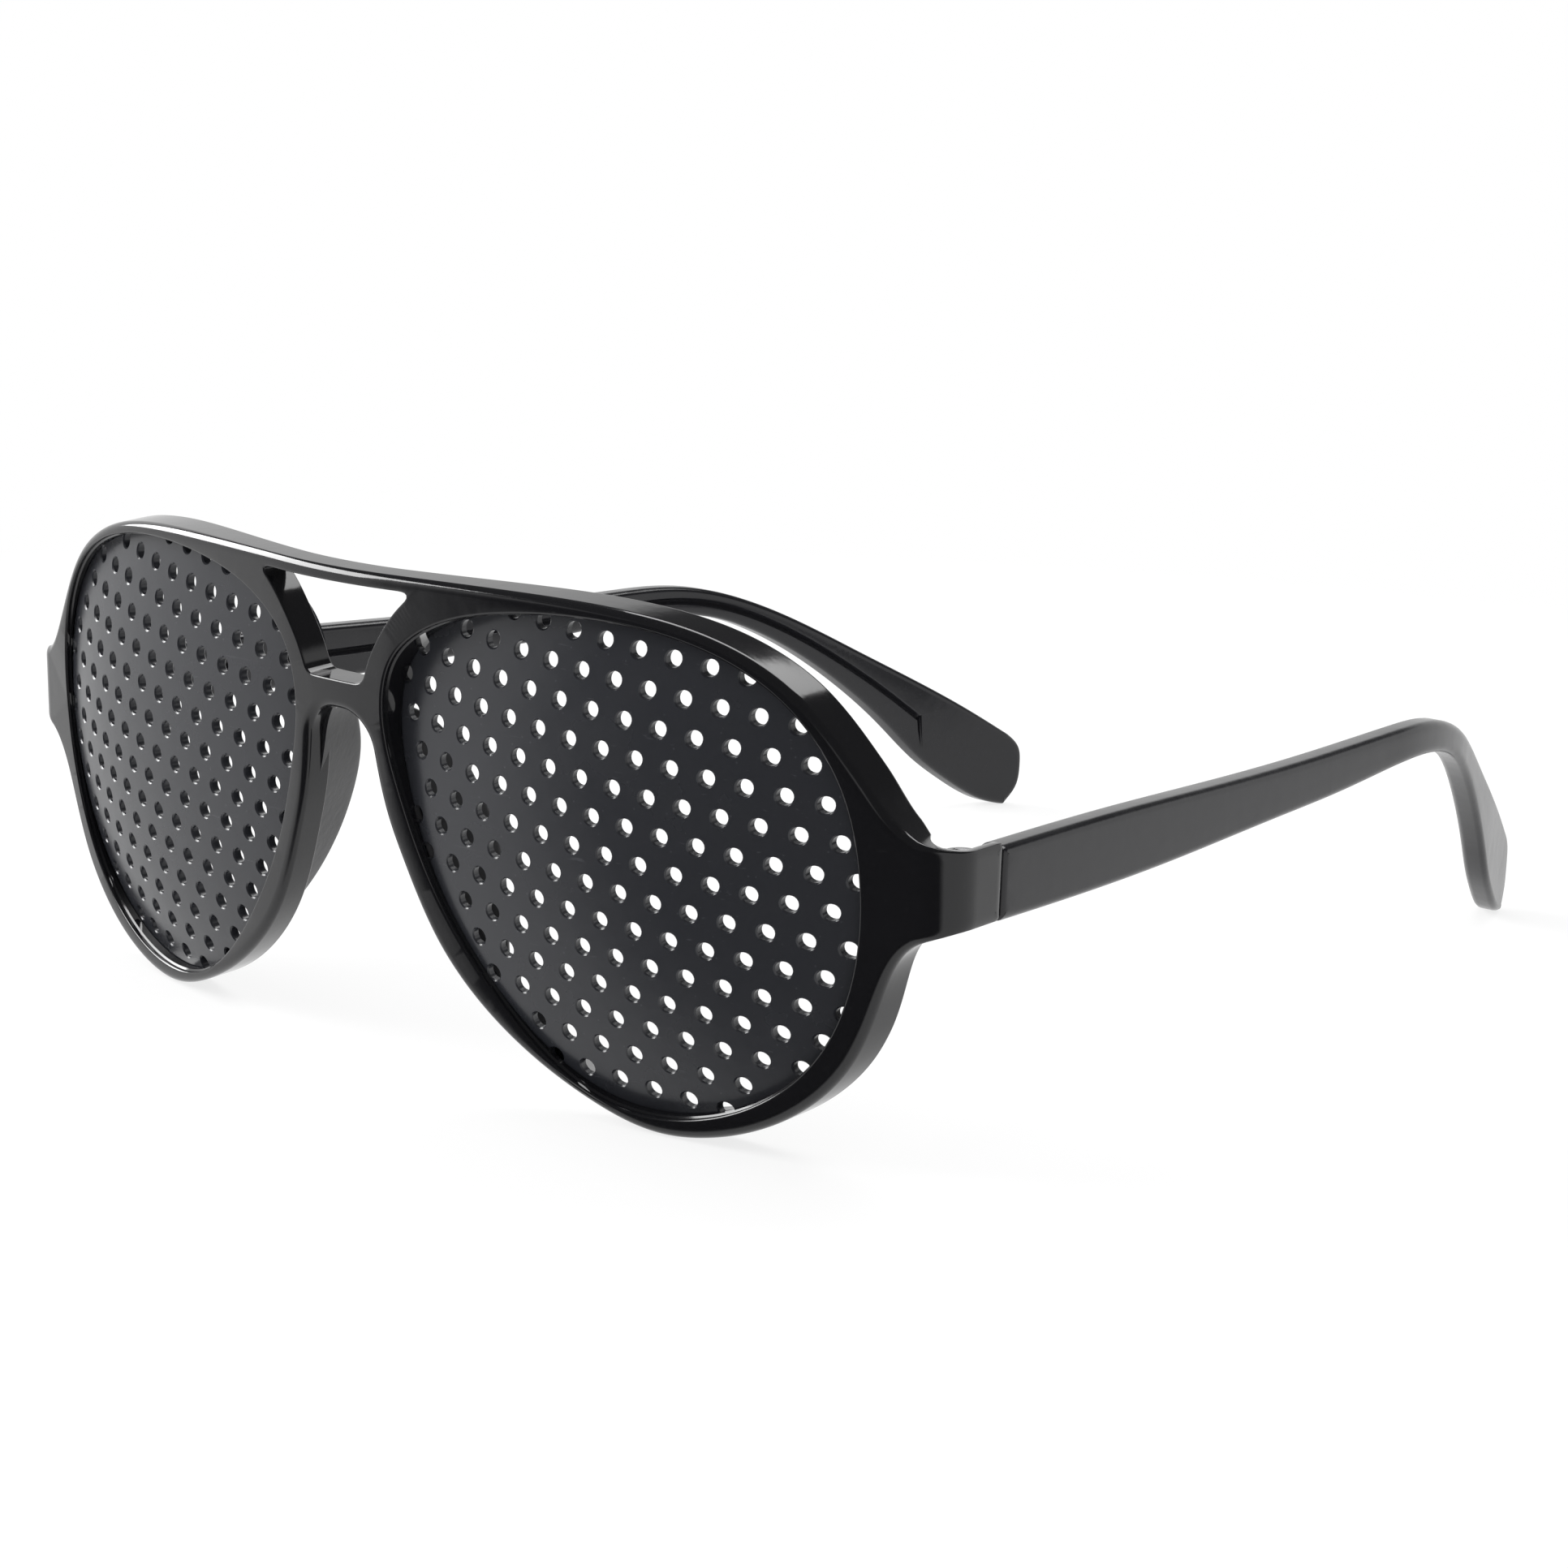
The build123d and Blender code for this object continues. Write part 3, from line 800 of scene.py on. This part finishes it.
# Hinges. Behind each end wall a short block, moulded with the front, carries two
# knuckles, and the temple's tongue turns between them.
hinge_inset = 3.9
hinge_from_end = 2.3
hinge_block_width = 5.7
hinge_block_depth = 3.7
hinge_block_slope = 1.7
hinge_block_clip = 1.4
hinge_block_gap = 0.1
hinge_block_drop = 0.15
hinge_block_round = 0.3
hinge_block_points = 80
hinge_round_steps = 3
lug_points = 25
knuckle_radius = 1.85
knuckle_height = 1.8
knuckle_drop = 0.8
knuckle_round = 0.15
hinge_play = 0.2
bore_play = 0.06
bore_points = 32
screw_radius = 0.7
screw_head_radius = 1.2
screw_head_height = 0.7
hinge_x = half_width - hinge_inset
hinge_y = end_back - hinge_from_end
knuckle_foot = end_foot + knuckle_drop
knuckle_top = end_top - knuckle_drop


def level(height):
    """Return a flat surface at a height, as a depth that counts upwards."""
    return lambda spot: np.full(len(spot), float(height))


def upright(side):
    """Return the rule that lifts a plan and a height to space, on one side."""
    def place(spot, height):
        """Mirror the plan to the side and stand it at the height."""
        return np.stack([side * spot[:, 0], spot[:, 1], height], axis=1)

    return place


def circle(middle, radius, count):
    """Draw a circle as a clockwise loop, which makes a hole."""
    turn = -np.linspace(0, 2 * pi, count, endpoint=False)
    return np.stack([middle[0] + radius * np.cos(turn), middle[1] + radius * np.sin(turn)], axis=1)


def lug(middle, radius, flat_end):
    """Draw a half-round lug that runs straight to a flat end, ahead or behind."""
    turn = np.linspace(0, pi, lug_points) + (pi if flat_end > middle[1] else 0)
    arc = np.stack([middle[0] + radius * np.cos(turn), middle[1] + radius * np.sin(turn)], axis=1)
    return np.vstack([arc, [(arc[-1, 0], flat_end), (arc[0, 0], flat_end)]])


def hinge_block(name, side):
    """Mould the block that the knuckles grow from, between the slab and the end wall."""
    outer = half_width - end_wall - hinge_block_gap
    inner = outer - hinge_block_width
    corners = [
        (outer, slab_back - hinge_block_clip), (outer, slab_back),
        (inner, slab_back - hinge_block_slope), (inner, slab_back - hinge_block_depth),
        (outer - hinge_block_width / 2, slab_back - hinge_block_depth),
    ]
    block = spaced(np.array(corners + corners[:1]), hinge_block_points, closed=True)
    low, high = end_foot + hinge_block_drop, end_top - hinge_block_drop
    rows = round_rows(hinge_block_round, level(low), level(high), steps=hinge_round_steps)
    piece = moulding(name, [block], [rows], upright(side))
    piece.data.materials.append(front_gloss)
    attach(piece, "front")


def knuckle(name, side, low, high, bore_rows):
    """Mould one hinge knuckle with the bore for the screw."""
    plan = lug((hinge_x, hinge_y), knuckle_radius, hinge_y - front_thickness)
    bore = circle((hinge_x, hinge_y), screw_radius + bore_play, bore_points)
    rows = round_rows(knuckle_round, level(low), level(high), steps=hinge_round_steps)
    piece = moulding(name, [plan, bore], [rows, bore_rows], upright(side))
    piece.data.materials.append(front_gloss)
    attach(piece, "front")


for side_name, side in (("left", 1), ("right", -1)):
    hinge_block(side_name + "_hinge_block", side)
    low, high = knuckle_foot, knuckle_foot + knuckle_height
    plain_bore = [(0, level(low), 0), (0, level(high), 0)]
    knuckle(side_name + "_lower_knuckle", side, low, high, plain_bore)
    low, high = knuckle_top - knuckle_height, knuckle_top
    step = screw_head_radius - screw_radius
    sunk_bore = [
        (0, level(low), 0), (0, level(high - screw_head_height), 0),
        (step, level(high - screw_head_height), 0), (step, level(high), 0),
    ]
    knuckle(side_name + "_upper_knuckle", side, low, high, sunk_bore)

# Pierced plates. Thin black sheet domed like a lens and sprung into the rim's groove.
# Small round holes stand in rows that run down towards the wearer's left on both.
hole_diameter = 1.72
hole_pitch = 3.92
row_pitch = 3.46
hole_turn = radians(-7.8)
hole_edge = 0.14
hole_points = 20
hole_shifts = {1: (-1.38, -1.12), -1: (-0.7, 1.0)}
plate_rim_points = 320
test_points = 400
grid_reach = 20
web_inset = 0.3
web_clearance = 0.4
plate_gloss = plastic(
    "black_plate", (0.020, 0.021, 0.025), roughness=0.12, spread=0.26,
    ripple=0.07, ripple_size=0.006, worn=0.45,
)


def pierced_plate(name, side):
    """Fill the opening with a domed sheet whose holes stand on a slanted hexagonal grid."""
    middle = np.array([side * (lens_from_nose + lens_width / 2), rim_at_foot + lens_height / 2])
    steps = np.arange(-grid_reach, grid_reach + 1)
    step, row = np.meshgrid(steps, steps)
    along = hole_pitch * (step + row % 2 / 2)
    up = row_pitch * row
    x = along * cos(hole_turn) - up * sin(hole_turn)
    y = along * sin(hole_turn) + up * cos(hole_turn)
    places = np.stack([x.ravel(), y.ravel()], axis=1) + middle + hole_shifts[side]
    places = places[inside(places, lens_loop(side, 0, test_points))]
    front = plate_face(0)
    back = plate_face(-plate_thickness)
    across = side * np.array([lens_from_nose, lens_from_nose + lens_width])
    ends = front(np.stack([across, np.full(2, middle[1])], axis=1))
    tilt = (ends[1] - ends[0]) / lens_width

    def aslant(spot, depth):
        """Run the holes square to the plate as a whole, which faces a little outwards."""
        shifted = spot - np.stack([side * tilt * (depth - front(spot)), 0 * depth], axis=1)
        return on_face(shifted, depth)

    rim = lens_loop(side, plate_edge, plate_rim_points)[::-1]
    holes = [circle(p, hole_diameter / 2, hole_points) for p in places]
    rows = [
        (hole_edge, front, 0), (0, front, hole_edge), (0, back, -hole_edge), (hole_edge, back, 0),
    ]
    edge = [(0, front, 0), (0, back, 0)]
    turn = np.radians(60) * np.arange(6) + radians(30) + hole_turn
    reach = hole_pitch / 3**0.5
    star = reach * np.stack([np.cos(turn), np.sin(turn)], axis=1)
    webs = (places[:, None, :] + star[None]).reshape(-1, 2)
    webs = webs[inside(webs, lens_loop(side, -web_inset, test_points))]
    webs = np.unique(np.round(webs, 3), axis=0)
    nearest = np.linalg.norm(webs[:, None, :] - places[None, :, :], axis=2).min(axis=1)
    webs = webs[nearest > hole_diameter / 2 + web_clearance]
    plate = moulding(name, [rim] + holes, [edge] + [rows] * len(holes), aslant, extra=webs)
    plate.data.materials.append(plate_gloss)
    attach(plate, "front")
    return plate


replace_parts(pierced_plate("left_plate", 1), "left_pinhole_plate")
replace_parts(pierced_plate("right_plate", -1), "right_pinhole_plate")

# Temples. One moulding each in satin black: a bar that narrows towards the ear, then
# turns in and down to a broad flat paddle. A crease runs along its inner face, and its
# tongue turns on the hinge screw.
temple_length = 141.6
temple_rise = 1.2
temple_thickness = 3.3
temple_gap = 0.25
temple_straight = 81.5
temple_converge = radians(4.86)
temple_bend_radius = 80.0
temple_bend = radians(16.9)
temple_round = 0.95
temple_end_cut = 0.5
temple_lead = 10
temple_points = 760
temple_bend_points = 60
temple_side_points = 260
temple_tip_points = 60
temple_end_points = 20
crease_from_share = 0.05
crease_to_share = 0.885
crease_width = 0.5
crease_depth = 0.7
crease_points = 480
crease_rows = 7
tongue_radius = 1.6
tongue_round = 0.12
tongue_seat = 0.6
temple_top_shares = [
    (0, 0.957), (0.158, 0.966), (0.3, 0.963), (0.42, 0.966), (0.56, 0.982),
    (0.64, 0.975), (0.71, 0.903), (0.82, 0.686), (0.94, 0.418), (0.985, 0.302),
]
temple_tip_shares = [(0.985, 0.302), (0.997, 0.25), (1, 0.17), (0.997, 0.08), (0.983, 0)]
temple_foot_shares = [
    (0.983, 0), (0.965, 0.018), (0.927, 0.104), (0.896, 0.2), (0.859, 0.352),
    (0.803, 0.555), (0.735, 0.74), (0.67, 0.845), (0.613, 0.87), (0.535, 0.849),
    (0.472, 0.826), (0.381, 0.803), (0.2, 0.759), (0.06, 0.743), (0, 0.74),
]
temple_satin = plastic(
    "satin_black", (0.008, 0.008, 0.010), roughness=0.12, spread=0.14,
    ripple=0.16, ripple_size=0.0030, worn=0.35,
)
temple_start = end_back + temple_gap
temple_peak = end_top + temple_rise


def temple_plan(inset):
    """Return the bar's face in plan: straight, then a bend, then straight to the tip."""
    radius = temple_bend_radius - inset
    turn = temple_converge + np.linspace(0, temple_bend, temple_bend_points)
    begin = np.array([half_width - temple_inset, temple_start])
    begin = begin - inset * np.array([cos(temple_converge), sin(temple_converge)])
    heading = np.array([-sin(temple_converge), cos(temple_converge)])
    bend_start = begin + temple_straight * heading
    lead = begin - temple_lead * heading
    bend = bend_start + radius * np.stack(
        [np.cos(turn) - cos(temple_converge), np.sin(turn) - sin(temple_converge)], axis=1
    )
    last = temple_converge + temple_bend
    tip = bend[-1] + temple_length / 2 * np.array([-sin(last), cos(last)])
    line = np.vstack([lead, bend, tip])
    return lambda spot: half_width - np.interp(spot[:, 0], line[:, 1], line[:, 0])


def temple(name, side):
    """Mould a temple from its side view, between its outer and inner faces in plan."""
    def sampled(shares, count):
        """Draw one line of the side view, behind the hinge."""
        line = smooth_curve(np.array(shares) * (temple_length, temple_peak), count)
        return line + (temple_start, 0)

    def place(spot, depth):
        """Stand the side view upright, at a depth inwards from the widest place."""
        return np.stack([side * (half_width - depth), spot[:, 0], spot[:, 1]], axis=1)

    top = sampled(temple_top_shares, temple_side_points)[::-1]
    tip = sampled(temple_tip_shares, temple_tip_points)[::-1]
    foot = sampled(temple_foot_shares, temple_side_points)[::-1]
    down = np.linspace(top[-1, 1], foot[0, 1], temple_end_points)
    end = np.stack([np.full(temple_end_points, temple_start), down], axis=1)
    body = np.vstack([foot[:-1], tip[:-1], top])
    loop = rounded_joint(body, end, temple_end_cut)
    middle = len(loop) // 2
    loop = np.vstack([loop[middle:], loop[:middle + 1]])
    seam = np.argmin(np.linalg.norm(loop - foot[0], axis=1))
    loop = rounded_joint(loop[: seam + 1], loop[seam:], temple_end_cut)
    loop = spaced(loop, temple_points, closed=True)
    along = np.linspace(crease_from_share, crease_to_share, crease_points)
    along = temple_start + temple_length * along
    above = np.interp(along, top[::-1, 0], top[::-1, 1])
    below = np.interp(along, foot[:, 0], foot[:, 1])
    crease = np.stack([along, (above + below) / 2], axis=1)
    straight = temple_plan(temple_thickness)

    def creased(spot):
        """Sink the inner face by a bell curve of the distance from the crease's line."""
        away = np.linalg.norm(spot[:, None, :] - crease[None, :, :], axis=2).min(axis=1)
        return straight(spot) - crease_depth * (1 - np.clip(away / crease_width, 0, 1) ** 2) ** 2

    ahead = np.gradient(crease, axis=0)
    across = np.stack([-ahead[:, 1], ahead[:, 0]], axis=1) / np.linalg.norm(ahead, axis=1)[:, None]
    beside = crease_width * np.linspace(-1, 1, crease_rows)
    groove = (crease[:, None, :] + across[:, None, :] * beside[None, :, None]).reshape(-1, 2)
    rows = round_rows(temple_round, temple_plan(0), creased)
    bar = moulding(name, [loop], [rows], place, extra=groove)
    bar.data.materials.append(temple_satin)
    return bar


def tongue(name, side):
    """Mould the tongue that reaches from the bar to the hinge screw."""
    plan = lug((hinge_x, hinge_y), tongue_radius, temple_start + tongue_seat)
    low = knuckle_foot + knuckle_height + hinge_play
    high = knuckle_top - knuckle_height - hinge_play
    bore = circle((hinge_x, hinge_y), screw_radius + bore_play, bore_points)
    rows = round_rows(tongue_round, level(low), level(high), steps=hinge_round_steps)
    bore_rows = [(0, level(low), 0), (0, level(high), 0)]
    piece = moulding(name, [plan, bore], [rows, bore_rows], upright(side))
    piece.data.materials.append(temple_satin)
    return piece


for side_name, side in (("left", 1), ("right", -1)):
    bar = temple(side_name + "_temple_bar", side)
    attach(bar, side_name + "_arm")
    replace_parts(bar, side_name + "_temple")
    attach(tongue(side_name + "_tongue", side), side_name + "_arm")

# Hinge screws. Small plain steel screws put in from above: a slotted head sunk in the
# upper knuckle, and a threaded tail that shows below the lower one.
screw_tail = 0.8
screw_tail_radius = 0.5
screw_points = 72
slot_half_width = 0.17
slot_depth = 0.35
thread_pitch = 0.35
thread_depth = 0.09
thread_lead = 0.1
thread_run_in = 0.6
head_rings = 13
steel_colour = (0.46, 0.46, 0.47)
steel_grain = 3000.0
steel_least_roughness = 0.22
steel_most_roughness = 0.45
steel = bpy.data.materials.new("screw_steel")
steel.use_nodes = True
steel_shader = steel.node_tree.nodes["Principled BSDF"]
steel_shader.inputs["Metallic"].default_value = 1.0
steel_shader.inputs["Base Color"].default_value = (*steel_colour, 1)
steel_place = add_node(steel.node_tree, "ShaderNodeTexCoord")
turned = add_node(steel.node_tree, "ShaderNodeTexNoise", {
    "Vector": steel_place.outputs["Object"], "Scale": steel_grain,
})
steel_gloss = add_node(steel.node_tree, "ShaderNodeMapRange", {
    "Value": turned.outputs["Fac"], "To Min": steel_least_roughness, "To Max": steel_most_roughness,
})
steel.node_tree.links.new(steel_gloss.outputs["Result"], steel_shader.inputs["Roughness"])


def screw(name, side):
    """Turn the screw's outline about its axis, with ridges for the thread and a cut slot."""
    low = knuckle_foot - screw_tail
    thread = np.arange(low + thread_lead, knuckle_foot + thread_run_in, thread_pitch / 2)
    crest = np.arange(len(thread)) % 2 == 0
    ridge = np.where(crest, screw_radius, screw_radius - thread_depth)
    seat = knuckle_top - screw_head_height
    ring = np.linspace(1, 0, head_rings + 1)[:-1]
    shank = [screw_radius, screw_radius, screw_head_radius]
    shank_heights = [thread[-1] + thread_lead, seat, seat]
    head_heights = np.full(head_rings + 1, knuckle_top)
    radius = np.concatenate([[0, screw_tail_radius], ridge, shank, screw_head_radius * ring, [0]])
    height = np.concatenate([[low, low], thread, shank_heights, head_heights])
    turn = np.linspace(0, 2 * pi, screw_points, endpoint=False)
    x = radius[:, None] * np.cos(turn)
    y = radius[:, None] * np.sin(turn)
    z = np.repeat(height[:, None], len(turn), axis=1)
    z = np.where((z == knuckle_top) & (np.abs(y) < slot_half_width), knuckle_top - slot_depth, z)
    points = np.stack([side * (hinge_x + x), hinge_y + y, z], axis=-1).reshape(-1, 3)
    mesh = bpy.data.meshes.new(name)
    mesh.from_pydata((points * mm).tolist(), [], ring_quads(*x.shape))
    piece = finished(name, mesh, 35)
    mesh.materials.append(steel)
    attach(piece, "front")
    return piece


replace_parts(screw("left_screw", 1), "left_hinge_screw")
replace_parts(screw("right_screw", -1), "right_hinge_screw")
